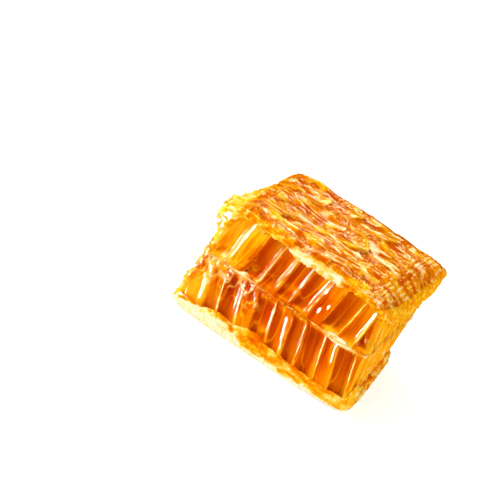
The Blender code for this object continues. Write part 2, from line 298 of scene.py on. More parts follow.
def top_seam(across, back):
    """Height of the seam under the top capping: the waved seam less the fall of its shoulder."""
    return seam(across, back, CAPPING_SEAM, 4.0) - shoulder(across, back)


def wrinkle(across, back):
    """Height of the capping's wrinkles: a sine from front to back, bent and made uneven by slow waves, and
    a wave of lumps."""
    x, y = (across - 0.5) * LENGTH_TOP, (back - 0.5) * DEPTH
    bent = y + WRINKLE_BEND * wave(x, y, 2.0, 34)
    ridges = np.sin(2 * np.pi * bent / WRINKLE_PITCH) * (0.6 + 0.4 * wave(x, y, 5.0, 19))
    return WRINKLE_HEIGHT * ridges + LUMP_HEIGHT * wave(x, y, 9.0, 11)


def ribbon_share(across):
    """1 where the capping hangs as a ribbon in front, eased to 0 at both ends of it."""
    return ease((across - RIBBON_FROM) / RIBBON_FADE) * ease((RIBBON_TO - across) / RIBBON_FADE)


def skirt_length(across, back, sides):
    """How far the capping hangs down the cut: each side has its own length, with a wave that tears its edge,
    and they are mixed by how much a place belongs to each side."""
    left, right, front, rear = sides
    place = spot(across, back, CAPPING_SEAM)
    torn = TEAR * wave(place[..., 0], place[..., 1], 3.0, TEAR_LENGTH)
    ribbon = FRONT_DROOP * (0.35 + 0.9 * ribbon_share(across)) + 0.35 * torn
    smear = RIGHT_SMEAR * (0.55 + 0.25 * back) + 1.6 * torn
    flap = REAR_DROOP + (FLAP_LENGTH - REAR_DROOP) * ease((0.5 - back) / 0.3) + 1.1 * torn
    behind = REAR_DROOP + 0.9 * torn
    return np.maximum(SKIRT_SHORTEST, left * flap + right * smear + front * ribbon + rear * behind)


def lip_top(across, back, sides):
    """Height of the lip's upper edge: scalloped by a wave, heaped up by a bell curve in front and lower at
    the front left corner, and never below the least over the seam."""
    front = sides[2]
    place = spot(across, back, 0.0)
    high = LIP_HEIGHT + LIP_HEIGHT_MORE * wave(place[..., 0], place[..., 1], 6.0, LIP_SCALLOP_LENGTH)
    heap = LIP_HEAP * np.exp(-(((across - LIP_HEAP_AT) / 0.2) ** 2)) * front
    high = high * (1 - 0.35 * front * ease((0.16 - across) / 0.16))
    return np.maximum(BASE_SEAM + LIP_LEAST, high + heap)


class Rim:
    """The way round the chunk, from the front left corner to the right: shares of the plan, the direction
    out of the cut, square to the mean way between points 2 to 8 steps behind and ahead, and how much each
    step belongs to the left, right, front and rear, by how far that direction points there."""

    def __init__(self, front, right, rear, left):
        ways = [np.arange(steps) / steps for steps in (front, right, rear, left)]
        self.across = np.concatenate([ways[0], np.ones(right), 1 - ways[2], np.zeros(left)])
        self.back = np.concatenate([np.zeros(front), ways[1], np.ones(rear), 1 - ways[3]])
        self.count = front + right + rear + left
        ring = spot(self.across, self.back, CAPPING_SEAM / 2)
        tangent = sum(np.roll(ring, -k, axis=0) - np.roll(ring, k, axis=0) for k in range(2, 9))
        out = np.stack([tangent[:, 1], -tangent[:, 0]], axis=1)
        self.out = out / np.linalg.norm(out, axis=1, keepdims=True)
        nx, ny = self.out.T
        both = np.abs(nx) + np.abs(ny)
        self.sides = tuple(np.maximum(part, 0) / both for part in (-nx, nx, -ny, ny))

    def at(self, height, out):
        """Points all round at a height, standing out of the cut by a distance."""
        point = spot(self.across, self.back, height)
        point[:, :2] += self.out * np.reshape(out, (-1, 1))
        return point


FINE_RIM = Rim(FRONT_STEPS, RIGHT_STEPS, REAR_STEPS, LEFT_STEPS)

NODE_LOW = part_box("cells_lower")[0]
FIRST_CORNER = spot(0.0, 0.0, seam(0.0, 0.0, BASE_SEAM, 1.0) + GAP / 2)
SHIFT = np.array([NODE_LOW[0] * 1000 - FIRST_CORNER[0], NODE_LOW[1] * 1000 + DEPTH / 2, 0.0])


# Meshes


def grid_faces(rows, columns, round_columns=False, start=0):
    """Four-cornered faces over a grid of vertices that is stored row by row."""
    steps = columns if round_columns else columns - 1
    row, column = np.meshgrid(np.arange(rows - 1), np.arange(steps), indexing="ij")
    here = row * columns + column
    beside = row * columns + (column + 1) % columns
    return np.stack([here, beside, beside + columns, here + columns], axis=-1).reshape(-1, 4) + start


def fan_faces(ring, centre, turned=False):
    """Triangles from a closed ring of vertices to one in its middle."""
    after = np.roll(ring, -1)
    first, second = (after, ring) if turned else (ring, after)
    return np.stack([first, second, np.full_like(ring, centre)], axis=-1)


def closed_body(rings, middles):
    """Points and faces of rings of one length, joined one to the next all the way round, with the first and
    the last closed by fans to two middles."""
    count = len(rings[0])
    points = np.concatenate([*rings, middles])
    first, last = np.arange(count), np.arange(count) + (len(rings) - 1) * count
    caps = np.concatenate([fan_faces(first, len(points) - 2, True), fan_faces(last, len(points) - 1)])
    return points, [grid_faces(len(rings), count, round_columns=True), caps]


def volume_of(points, faces):
    """Signed volume of the closed surface, over zero if its faces point out: the sum over its triangles of
    the solids between each and the origin."""
    total = 0.0
    for group in faces:
        for k in range(1, group.shape[1] - 1):
            a, b, c = points[group[:, 0]], points[group[:, k]], points[group[:, k + 1]]
            total += np.einsum("ij,ij->", a, np.cross(b, c)) / 6
    return total


def mesh_piece(name, points, faces, material, stands_for, slot, values):
    """One closed piece of the chunk, given in mm before the part's centring, with its faces turned to point
    out. values are named numbers that its material reads, held between 0 and 1, one for each vertex but the
    middles of fans, which get a half if none are given."""
    points = np.asarray(points, float) + SHIFT
    if volume_of(points, faces) < 0:
        faces = [group[:, ::-1] for group in faces]
    corners = np.concatenate([group.ravel() for group in faces]).astype(np.int32)
    sizes = np.concatenate([np.full(len(group), group.shape[1]) for group in faces]).astype(np.int32)
    mesh = bpy.data.meshes.new(name)
    mesh.vertices.add(len(points))
    mesh.vertices.foreach_set("co", (points / 1000).astype(np.float32).ravel())
    mesh.loops.add(len(corners))
    mesh.loops.foreach_set("vertex_index", corners)
    mesh.polygons.add(len(sizes))
    mesh.polygons.foreach_set("loop_start", np.concatenate([[0], np.cumsum(sizes)[:-1]]).astype(np.int32))
    mesh.polygons.foreach_set("loop_total", sizes)
    mesh.update(calc_edges=True)
    mesh.validate()
    mesh.shade_smooth()
    for key, numbers in values.items():
        held = np.full(len(points), 0.5, np.float32)
        held[: np.size(numbers)] = clamp(np.ravel(numbers))
        mesh.attributes.new(key, "FLOAT", "POINT").data.foreach_set("value", held)
    mesh.materials.append(material)
    piece = bpy.data.objects.new(name, mesh)
    bpy.context.scene.collection.objects.link(piece)
    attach(piece, "root")
    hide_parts(stands_for)


def blurred(field, rows, columns):
    """The field with each value spread over that many steps up and down and round the rim: each step takes
    half of the value and a quarter of each of its two neighbours."""
    for _ in range(rows):
        padded = np.concatenate([field[:1], field, field[-1:]])
        field = (padded[:-2] + 2 * padded[1:-1] + padded[2:]) / 4
    for _ in range(columns):
        field = (np.roll(field, 1, axis=1) + 2 * field + np.roll(field, -1, axis=1)) / 4
    return field


# Materials


def linear(hex_color):
    """A screen colour such as E07000 as the linear numbers that shaders take, by the sRGB curve."""
    parts = np.array([int(hex_color[k : k + 2], 16) for k in (0, 2, 4)]) / 255
    return (*np.where(parts <= 0.04045, parts / 12.92, ((parts + 0.055) / 1.055) ** 2.4), 1.0)


WHITE = linear("FFFFFF")


def plug(tree, node, links):
    """Gives each named input of a node its output socket or its value."""
    for key, value in links.items():
        if isinstance(value, bpy.types.NodeSocket):
            tree.links.new(value, node.inputs[key])
        else:
            node.inputs[key].default_value = value


def add(tree, kind, links=(), stops=(), **settings):
    """Adds one shader node with its settings and links. stops are the places and hex colours of its ramp."""
    node = tree.nodes.new("ShaderNode" + kind)
    for key, value in settings.items():
        setattr(node, key, value)
    plug(tree, node, dict(links))
    for number, (place, color) in enumerate(stops):
        elements = node.color_ramp.elements
        stop = elements[number] if number < len(elements) else elements.new(place)
        stop.position = place
        stop.color = linear(color)
    return node


# Which sockets of a Mix node hold its factor, its two colours and its result
MIX_FACTOR, MIX_FIRST, MIX_SECOND, MIX_RESULT = 0, 6, 7, 2

# Honey in beeswax, from where it is thick to where light comes through, for the cells, midrib and base
AMBER = ((0.0, "B03200"), (0.25, "C64A00"), (0.5, "DC6A00"), (0.75, "F29200"), (1.0, "FFBC18"))
# The same honey on the top capping, which is lighter, because its film is thin
TOP_AMBER = ((0.0, "C85800"), (0.3, "DE8000"), (0.65, "F0A400"), (1.0, "FFCC18"))
# Bare beeswax, from yellow where honey soaks it to cream where it is dry
WAX = ((0.0, "FFAE08"), (0.4, "FFD228"), (0.75, "FFE88C"), (1.0, "FFF6E0"))
# The grain of the wax tints its colour from its hollows to its crests
GRAIN_TINT = ((0.34, "FFD8A0"), (0.62, "FFFFFF"))

# Typical values
BEESWAX_IOR, HONEY_IOR = 1.46, 1.5
# How far red light goes into waxy honey in mm, and how far red, green and blue light go as shares of that
GLOW_REACH = 2.2
GLOW_SHARES = (1.0, 0.42, 0.1)


def honey_and_wax(name, amber, glow, roughness, grain_mm, grain_depth_mm, drawn_out=(1, 1, 1)):
    """Beeswax as bees build it, soaked with honey, under a film of honey that ran over it. The mesh's tone
    picks the amber, its pale the colour of bare wax, and its wax how much of that shows. Light comes out of
    it warmer, as a glow, and only the smooth film mirrors, so highlights are sharp and white. The grain is
    noise of a size in mm, drawn out where honey runs."""
    material = bpy.data.materials.new(name)
    material.use_nodes = True
    tree = material.node_tree
    scale = tuple(1000 / grain_mm / times for times in drawn_out)
    place = add(tree, "TexCoord").outputs["Object"]
    place = add(tree, "Mapping", {"Vector": place, "Scale": scale}).outputs["Vector"]
    pattern = {"Vector": place, "Scale": 1.0, "Detail": 4.0, "Roughness": 0.65}
    grain = add(tree, "TexNoise", pattern).outputs["Fac"]
    tone, pale, wax = (
        add(tree, "Attribute", attribute_name=number).outputs["Fac"] for number in ("tone", "pale", "wax")
    )
    soaked, bare, tint = (
        add(tree, "ValToRGB", {"Fac": factor}, stops).outputs["Color"]
        for factor, stops in ((tone, amber), (pale, WAX), (grain, GRAIN_TINT))
    )
    both = {MIX_FACTOR: wax, MIX_FIRST: soaked, MIX_SECOND: bare}
    color = add(tree, "Mix", both, data_type="RGBA").outputs[MIX_RESULT]
    both = {MIX_FACTOR: 1.0, MIX_FIRST: color, MIX_SECOND: tint}
    color = add(tree, "Mix", both, data_type="RGBA", blend_type="MULTIPLY").outputs[MIX_RESULT]
    bump = add(tree, "Bump", {"Height": grain, "Strength": 1.0, "Distance": grain_depth_mm / 1000})
    looks = {
        "Base Color": color,
        "Normal": bump.outputs["Normal"],
        "Roughness": roughness,
        "IOR": BEESWAX_IOR,
        "Specular IOR Level": 0.0,
        "Subsurface Weight": glow,
        "Subsurface Radius": GLOW_SHARES,
        "Subsurface Scale": GLOW_REACH / 1000,
        "Coat Weight": 1.0,
        "Coat Roughness": 0.0,
        "Coat IOR": HONEY_IOR,
    }
    plug(tree, tree.nodes["Principled BSDF"], looks)
    return material


# Honey in wax cells that a knife cut open. It runs together into a film, so the eye gets long white streaks
# and deep ambers. Its grains of wax of about 0.1 mm are too fine to show, so they are drawn 0.9 mm wide, and
# seven times as long up the cells, as honey runs down them.
cell_honey = honey_and_wax("honey in wax cells", AMBER, 0.2, 0.2, 0.9, 0.02, (1, 1, 7))

# The sheet of wax that bees close full cells with, crinkled as it set and wet with honey. It gives small
# sharp highlights on lighter ambers. Its flakes are 1.1 mm wide and three times as long along the chunk.
top_wax = honey_and_wax("wet capping wax", TOP_AMBER, 0.15, 0.3, 1.1, 0.05, (3, 1, 1))

# Wax of the wall between the layers, drawn and torn by the knife, which looks dry and crumpled. Its fibres
# of about 0.1 mm are too fine to show, so they are drawn 0.7 mm wide and deeper than on the cells.
midrib_wax = honey_and_wax("crinkled midrib wax", AMBER, 0.3, 0.35, 0.7, 0.08)

# The lower capping, which the knife squeezed into a lip of soft wax. More light goes into it, so it looks
# pale and waxy. Its crumbs of about 0.2 mm are drawn 0.6 mm wide, as finer ones don't show.
base_wax = honey_and_wax("pale base wax", AMBER, 0.3, 0.3, 0.6, 0.03)


# The two layers of cells


def cell_at(x, y, z, root, shift):
    """For points of a layer: offset from the middle of their hexagonal cell, in lattice directions, and an
    even scatter number for each cell. Cells lean along +X away from the midrib, and noise makes their walls
    wander. Every second row of middles is half a pitch further along, and the nearest middle counts."""
    turn = np.array([math.cos(LATTICE_TURN), math.sin(LATTICE_TURN)])
    px = x - shift[0] - math.tan(CELL_SLANT) * np.abs(z - root)
    py = y - shift[1]
    px = px + WALL_WANDER * rough(px, py, z, (3.4, 3.4, 13.0), 35, 2)
    py = py + WALL_WANDER * rough(px, py, z, (3.4, 3.4, 13.0), 36, 2)
    u, v = px * turn[0] + py * turn[1], -px * turn[1] + py * turn[0]
    step = CELL_PITCH * math.sqrt(3) / 2
    best = None
    for row in (np.floor(u / step), np.floor(u / step) + 1):
        column = np.round(v / CELL_PITCH - 0.5 * (row % 2))
        du, dv = u - row * step, v - (column + 0.5 * (row % 2)) * CELL_PITCH
        found = (du * du + dv * dv, du, dv, row, column)
        if best is not None:
            nearer = found[0] < best[0]
            found = tuple(np.where(nearer, ours, theirs) for ours, theirs in zip(found, best))
        best = found
    _, du, dv, row, column = best
    shade = np.modf(np.abs(np.sin(row * 12.9898 + column * 78.233 + 1.7)) * 43.7585)[0]
    return du, dv, shade


def way_to_wall(du, dv, nx, ny):
    """Distance from a point of a cell to its far wall along (nx, ny), nothing in the wall itself: the least,
    of the six walls, of the room before it divided by how much the way faces it. Also gives the least room,
    which is under nothing in the wall."""
    half = (CELL_PITCH - CELL_WALL) / 2
    turn = np.array([math.cos(LATTICE_TURN), math.sin(LATTICE_TURN)])
    u, v = nx * turn[0] + ny * turn[1], -nx * turn[1] + ny * turn[0]
    far, near = np.full(np.shape(du), 9.0), np.full(np.shape(du), 9.0)
    for k in range(6):
        angle = math.radians(30 + 60 * k)
        facing = u * math.cos(angle) + v * math.sin(angle)
        room = half - du * math.cos(angle) - dv * math.sin(angle)
        far = np.where(facing > 0.05, np.minimum(far, room / np.maximum(facing, 0.05)), far)
        near = np.minimum(near, room)
    return np.where(near > 0, far, 0.0), near


def soft_least(first, second, blend):
    """The smaller of two fields, rounded where they meet: mixed by their difference, less a little there."""
    share = clamp(0.5 + 0.5 * (second - first) / blend)
    return second + (first - second) * share - blend * share * (1 - share)


def cell_depth(x, y, z, lean_x, root, shift, seed, nx, ny):
    """How deep the cut opens a cell: to its far wall or to the honey left in it, whichever is nearer, rounded
    where they meet. Each cell has its own honey, which slopes and is uneven. Broken wax keeps a least depth
    here and there, and at the root it goes to nothing along a quarter circle. Gives the depth, the cell's
    scatter number and the distance sideways from its middle."""
    du, dv, shade = cell_at(x, y, z, root, shift)
    far, _ = way_to_wall(du, dv, nx, ny)
    sideways = du * ny - dv * nx
    fill = TROUGH_SHALLOWEST + (TROUGH_DEEPEST - TROUGH_SHALLOWEST) * shade
    fill = fill + 0.55 * (np.modf(shade * 7.3)[0] - 0.5) * sideways
    fill = fill + 0.30 * rough(lean_x, y, z, (2.2, 2.2, 11.0), seed)
    depth = soft_least(far, np.maximum(fill, 0.5), 0.7)
    broken = 0.5 * ease(2.2 * rough(lean_x, y, z, (1.6, 1.6, 3.2), seed + 1, 2) - 0.1)
    depth = np.maximum(depth, broken)
    from_root = np.abs(z - root) - 0.9 - 0.9 * (np.modf(shade * 3.7)[0] - 0.5)
    depth = depth * np.sqrt(np.maximum(0.0, 1 - (1 - clamp(from_root / 2.0)) ** 2))
    return depth, shade, sideways


def cell_layer(name, node, slot, span, root, shift, seed, tangle):
    """The wet cut face of one layer all round, over a span of heights. Each point is pushed in by the depth
    of the cell that it opens, blurred as a honey film softens it, less threads and ripples. Crests are less
    deep than the mean round them. Crumpled wax stands proud at the near left corner and, by the amount of
    tangle, at the left end of the midrib. Crests and crumples are lighter. The tone also holds painted light:
    a painted glow lighter toward the cappings, painted shade darker in cells cut deeper, each cell lighter
    towards one side, and the right end lighter."""
    rim = FINE_RIM
    low, high = span
    height = low + (high - low) * np.linspace(0, 1, LAYER_ROWS)[:, None]
    across = rim.across[None, :] + 0 * height
    flat = spot(across, rim.back[None, :] + 0 * height, height)
    x, y, z = np.moveaxis(flat, -1, 0)
    lean_x = x - math.tan(CELL_SLANT) * np.abs(z - root)
    nx, ny = -rim.out.T[:, None]
    depth, shade, sideways = cell_depth(x, y, z, lean_x, root, shift, seed, nx, ny)
    depth = blurred(depth, FILM_STEPS, FILM_STEPS)
    proud = blurred(depth, 2 * FILM_STEPS, 5 * FILM_STEPS) - depth

    # Noise drawn out along the leaning cells, for streaks and threads of honey, and even noise for lumps
    streak = rough(lean_x, y, z, (0.55, 0.55, 11.0), seed + 3, 2)
    broad = rough(lean_x, y, z, (1.8, 1.8, 14.0), seed + 4, 2)
    threads = ease(4 * creased(lean_x, y, z, (1.7, 1.7, 13.0), seed + 9, 1) - 3.1)
    ripples = rough(lean_x, y, z, (0.9, 0.9, 2.6), seed + 12, 2)
    lumps = rough(x, y, z, (2.6, 2.6, 4.0), seed + 5, 2)
    tiny = rough(x, y, z, (0.5, 0.5, 0.9), seed + 6, 2)

    # The film of honey: level in the hollows, with the crests of the walls standing through it
    level = blurred(depth, 4 * FILM_STEPS, 5 * FILM_STEPS)
    honey = np.minimum(depth, level) - 0.12 * broad - 0.13 * lumps
    honey = blurred(honey, FILM_STEPS, 2 * FILM_STEPS)
    push = honey + 0.4 * (depth - honey) * clamp(2.5 * proud) - 0.06 * threads - 0.04 * ripples

    # Crumpled wax
    left, right, front = (side[None, :] for side in rim.sides[:3])
    near_corner = left * ease((LEFT_RUFFLE_WIDE - rim.back[None, :] * DEPTH) / LEFT_RUFFLE_WIDE)
    ruffle = creased(x, y, z, (2.6, 2.2, 2.2), seed + 11) - 0.45
    tangled = tangle * front * ease((TANGLE_TO - across) / TANGLE_FADE)
    tangled = tangled * ease((TANGLE_HIGH - np.abs(z - root)) / TANGLE_HIGH_FADE)
    crumple = creased(x, y, z, (1.5, 1.5, 2.2), seed + 13, 3) - 0.5
    push = push - TANGLE_PROUD * tangled * crumple
    push = push * (1 - near_corner) - near_corner * (LEFT_RUFFLE + 1.9 * ruffle)
    points = flat.copy()
    points[..., 0] += nx * push
    points[..., 1] += ny * push

    # What the material reads, with painted light and shade in the tone
    crest = clamp(3.0 * proud - 0.1)
    toward_cap = ease((np.abs(z - root) - 4.0) / 9.0)
    # Painted light and shade: a glow lighter toward the cappings, and darker where a cell is cut deeper
    tone = 0.38 + 0.36 * (shade - 0.5) + 0.28 * toward_cap - 0.10 * (depth - 1.2) + 0.22 * broad
    # Painted light: each cell lighter towards one side of it, and the right end lighter
    tone = tone + 0.16 * streak + 0.08 * sideways + 0.6 * crest + 0.4 * threads + 0.42 * right
    tone = tone + 0.5 * front * ease((0.26 - across) / 0.2) + near_corner * (0.25 + 0.8 * ruffle)
    tone = tone + tangled * (1.2 * crumple - 0.1)
    specks = ease(4.5 * (rough(x, y, z, (1.1, 1.1, 1.5), seed + 8, 3) - 0.2))
    wax = crest * (0.5 * ease(0.5 + 1.8 * lumps) + 0.6 * specks) + near_corner * (1.6 * ruffle + 0.3 * tiny)
    wax = wax + tangled * (3.0 * crumple - 0.25)
    pale = 0.15 + 0.5 * crest + 0.35 * tiny + 0.3 * near_corner + tangled * (0.3 + 1.0 * crumple)
    body = closed_body(points, [points[0].mean(axis=0), points[-1].mean(axis=0)])
    mesh_piece(name, *body, cell_honey, node, slot, {"tone": tone, "wax": wax, "pale": pale})
    return points


def comb():
    """Both layers of cells: one from the seam of the base to the midrib, one from there to the seam of the
    top capping. Gives the points of each."""
    base, under, over = (
        seam(FINE_RIM.across, FINE_RIM.back, height, seed)[None, :]
        for height, seed in ((BASE_SEAM, 1.0), (MIDRIB_LOW, 2.0), (MIDRIB_HIGH, 2.0))
    )
    top = top_seam(FINE_RIM.across, FINE_RIM.back)[None, :]
    span = (base + SEAM_LIFT, under + MIDRIB_LAP)
    lower = cell_layer("lower_cells", "cells_lower", "lower_honey", span, MIDRIB_LOW, LOWER_SHIFT, 40, 1.0)
    span = (over - MIDRIB_LAP, top + SEAM_LIFT)
    upper = cell_layer("upper_cells", "cells_upper", "upper_honey", span, MIDRIB_HIGH, UPPER_SHIFT, 60, 0.35)
    return lower, upper


# The wax


def midrib():
    """A crinkled ribbon of wax between the layers: a half round profile that follows the seam and is torn
    out of the cut by an uneven wave, more at the flap on the left. Bell curves swell it where it is twisted,
    and noise crumples it, with fibres along it."""
    rim = FINE_RIM
    left, _, front, _ = rim.sides
    low = seam(rim.across, rim.back, MIDRIB_LOW, 2.0)
    high = seam(rim.across, rim.back, MIDRIB_HIGH, 2.0)
    at = spot(rim.across, rim.back, low)
    torn = MIDRIB_TEAR * wave(at[:, 0], at[:, 1], 7.0, MIDRIB_TEAR_LENGTH)
    reach = MIDRIB_PROUD + torn + left * MIDRIB_FLAP * ease((0.4 - rim.back) / 0.4) + 0.5 * (1 - front)
    thick = 0.56 + 0.16 * rough(*at.T, (4.0, 4.0, 9), 8, 2)
    twist = sum(much * np.exp(-(((rim.across - place) / TWIST_WIDE) ** 2)) for place, much in MIDRIB_TWISTS)
    twist = front * twist
    rings = []
    for turn in np.linspace(-np.pi / 2, np.pi / 2, MIDRIB_RINGS):
        height = (low + high) / 2 + (high - low) * (thick + 0.55 * twist) * math.sin(turn)
        out = -0.8 + (0.65 * reach + 0.52 + 0.5 * twist) * math.cos(turn)
        ring = rim.at(height, out)
        crumple = rough(*ring.T, (1.9, 1.9, 0.8), 5)
        fibre = rough(*ring.T, (4.0, 4.0, 0.3), 6, 2)
        rings.append(rim.at(height + 0.2 * crumple, out + (0.26 * crumple + 0.22 * fibre) * math.cos(turn)))
    points, faces = np.concatenate(rings), grid_faces(MIDRIB_RINGS, rim.count, round_columns=True)
    # Inside the cut the last ring is joined to the first, which closes the ribbon
    closing = np.stack([np.arange(rim.count), np.roll(np.arange(rim.count), -1)], axis=1)
    closing = np.concatenate([closing, closing[:, ::-1] + (MIDRIB_RINGS - 1) * rim.count], axis=1)
    crumple = creased(*points.T, (3.0, 3.0, 0.35), 9)
    twisted = np.tile(twist, MIDRIB_RINGS)
    values = {
        "tone": 0.45 + 0.6 * crumple,
        "wax": 1.7 * crumple - 0.75 + 1.1 * twisted,
        "pale": 0.3 + 0.7 * crumple + 0.3 * twisted,
    }
    mesh_piece("midrib_ribbon", points, [faces, closing], midrib_wax, "midrib", "midrib_wax", values)


def base_capping():
    """The capping that the chunk lies on: a scalloped lip round the cut, from the flat underside up, over its
    top and down behind, with pale crumpled wax on it. Its profile holds shares of the way from its turned-up
    foot to its top, with how far it stands out in lip thicknesses, and noise dents it."""
    rim = FINE_RIM
    smeared_up = rim.sides[1] * ease((0.34 - rim.back) / 0.3)
    top = lip_top(rim.across, rim.back, rim.sides) + WAX_UP_RIGHT * smeared_up
    turned_up = LIP_RISE * np.maximum(0.0, 2 * np.abs(2 * rim.across - 1) - 1) ** 1.5
    top = top + 0.6 * rough(*rim.at(top, 0.0).T, (2.4, 2.4, 9), 71)
    profile = [(0.0, 0.35), (0.05, 0.66), (0.11, 0.86), (0.18, 0.98), (0.26, 1.03), (0.35, 1.0), (0.44, 0.92)]
    profile += [(0.53, 0.8), (0.62, 0.66), (0.71, 0.5), (0.8, 0.34), (0.88, 0.2), (0.95, 0.08)]
    rings = [rim.at(0 * top, -2.2), rim.at(0.35 * turned_up, -0.9)]
    for up, swell in profile:
        rings.append(rim.at(turned_up + (top - turned_up) * up, GAP + LIP_THICK * swell))
    rings.append(rim.at(top, 0.12))
    rings.append(rim.at(top - 0.3, -0.2))
    rings.append(rim.at(BASE_SEAM + 0 * top, -0.5))
    # The two rings under the chunk and the one behind the lip stay as they are, and the foot is dented less
    for share, ring in zip([0.3] + [1.0] * (len(rings) - 4), rings[2:-1]):
        lump = 0.3 * rough(*ring.T, (2.0, 2.0, 1.6), 73, 3)
        lump = lump + 0.3 * (creased(*ring.T, (3.2, 3.2, 0.9), 75, 2) - 0.5)
        ring[:, :2] += rim.out * (lump * share)[:, None]
    points, faces = closed_body(rings, [[0.0, 0.0, 0.0], [0.0, 0.0, BASE_SEAM]])

    # Cream wax lies in a heap low on the left of the lip, and in blotches, crumples and a patch at the right
    crumple = creased(*points.T, (3.0, 3.0, 0.7), 77, 3)
    blotches = rough(*points.T, (2.6, 2.6, 1.3), 79)
    along = np.concatenate([np.tile(rim.across, len(rings)), [0.5, 0.5]])
    heap = np.exp(-(((along - 0.2) / 0.17) ** 2))
    right_patch = np.concatenate([np.tile(smeared_up, len(rings)), [0.0, 0.0]])
    cream = ease((1.5 + 3.4 * heap + 1.1 * blotches - points[:, 2]) / 0.6)
    upper = clamp((points[:, 2] - 1.0) / 2.6)
    wax = 0.95 * cream + 0.75 * ease(3.0 * (blotches - 0.06)) + 0.8 * ease(5 * (crumple - 0.68))
    values = {
        "tone": 1.08 - 0.24 * upper + 0.8 * (crumple - 0.6) + 0.3 * blotches + 0.4 * right_patch,
        "wax": wax + 0.6 * right_patch,
        "pale": 0.25 + 0.65 * cream - 0.1 * upper + 0.6 * blotches + 0.4 * crumple + 0.1 * right_patch,
    }
    mesh_piece("base_capping_wax", points, faces, base_wax, "capping_lower", "base_capping", values)


def capping_relief(x, y, from_right):
    """Relief of the wet capping, its torn borders, its crinkles, its amber and its pale marks. The relief is
    sheets tilted over each other, crinkled here and there, over low domes where each cell is closed, and
    swells that follow the right edge. The amber is lighter where the relief is high and darker in its
    hollows, as painted light and shade, and stains vary it. Pale patches of painted sheen lie on some raised
    sheets and in wisps where creased noise is high, most near the front, and bare wax lies in lines on those
    swells."""
    z = np.zeros_like(x)
    bent_x = x + 1.0 * rough(x, y, z, (3.0, 3.0, 7), 90, 4)
    bent_y = y + 1.0 * rough(x, y, z, (3.0, 3.0, 7), 91, 4)
    sheets, number, border = facets(bent_x, bent_y, (6.8, 4.6), 200)
    flakes, _, small_border = facets(bent_x, bent_y, (2.1, 1.3), 210)
    du, dv, shade = cell_at(x, y, z + CAPPING_SEAM, MIDRIB_HIGH, UPPER_SHIFT)
    _, near = way_to_wall(du, dv, 0 * x, 0 * x + 1)
    dome = ease(near / 1.8) * (shade - 0.35)
    crinkled = ease(1.6 - 2.5 * number)
    fine = creased(bent_x, bent_y, z, (1.5, 0.9, 9), 94, 2)
    near_right = ease((8.0 - from_right) / 5.0)
    swell = np.sin(2 * np.pi * (from_right / 1.3 + 1.3 * rough(x, y, z, (5, 9, 9), 99, 3)))
    height = 0.21 * sheets + 0.22 * (number - 0.5) + 0.32 * crinkled * flakes + 0.12 * dome
    height = height + 0.14 * (0.15 + 0.85 * crinkled) * (fine - 0.5)
    height = height * (1 - 0.6 * near_right) + 0.07 * near_right * swell
    edges = np.maximum(clamp(1 - border / 0.14), crinkled * clamp(1 - small_border / 0.22))
    stains = rough(bent_x, bent_y, z, (2.4, 2.0, 9), 98, 3)
    # Painted sheen: pale patches on the raised sheets
    sheen_and_wax_film = ease(7.0 * (number - 0.6)) * ease(5.0 * stains) * clamp(border / 0.12)
    near_front = ease((14 - (y + DEPTH / 2)) / 10)
    # Painted sheen in wisps, most near the front
    wisps = creased(bent_x, bent_y, z, (2.8, 0.8, 9), 93, 3) - 0.76 + 0.13 * near_front
    wisps = ease(9.0 * wisps) * ease(0.6 + 3.0 * stains + 0.3 * near_front)
    # Bare wax in lines on the swells by the right edge
    lines = near_right * ease(2.5 * (swell - 0.4)) * ease(0.3 + 3.0 * stains)
    sheen_and_wax_film = np.maximum(sheen_and_wax_film, np.maximum(0.9 * wisps, 0.8 * lines))
    # Painted light and shade: lighter where the relief is high, darker in its hollows; the stains are the
    # wax's own
    tone = 0.34 + 1.4 * height + 0.7 * stains
    return height, edges, fine * (0.35 + 0.65 * crinkled), tone, sheen_and_wax_film


def top_sheet():
    """The sheet over the cells: the seam over the plan, raised by the capping's thickness, its wrinkles and
    its relief, less near the edges, with grains at the front. Gives its points and what the material reads:
    the relief's amber with its painted light and shade, wax on torn borders and crinkles, pale painted sheen
    and bare wax lines, and wax on grains near the edges."""
    across, back = np.meshgrid(np.linspace(0, 1, TOP_COLUMNS + 1), np.linspace(0, 1, TOP_ROWS + 1))
    edge = np.minimum(np.minimum(across, 1 - across) * LENGTH_TOP, np.minimum(back, 1 - back) * DEPTH)
    inland = ease(edge / 1.6)
    base = top_seam(across, back)
    flat = spot(across, back, base)
    relief, edges, fine, shade, sheen_and_wax_film = capping_relief(flat[..., 0], flat[..., 1], (1 - across) * LENGTH_TOP)
    grains = creased(flat[..., 0], flat[..., 1], 0 * across, (0.9, 0.7, 9), 109, 2)
    at_front = ease(1 - back * DEPTH / 5)
    lift = (0.66 + 0.34 * inland) * (CAPPING_THICK - 0.15 + 0.45 * wrinkle(across, back))
    lift = lift + relief * (0.5 + 0.5 * inland) + 0.3 * at_front * (grains - 0.5)
    near_edge = 1 - ease(edge / 3.0)
    # The tone holds painted light and shade from the relief, and pale and wax hold the painted sheen
    values = {
        "tone": shade + 0.3 * (fine - 0.4) + 0.1 * edges,
        "wax": 0.4 * edges * edges + 0.7 * fine - 0.48 + 0.75 * sheen_and_wax_film + near_edge * (0.8 * grains - 0.25),
        "pale": 0.05 + 0.5 * edges + 0.3 * fine + 2.0 * sheen_and_wax_film,
    }
    return spot(across, back, base + lift), values


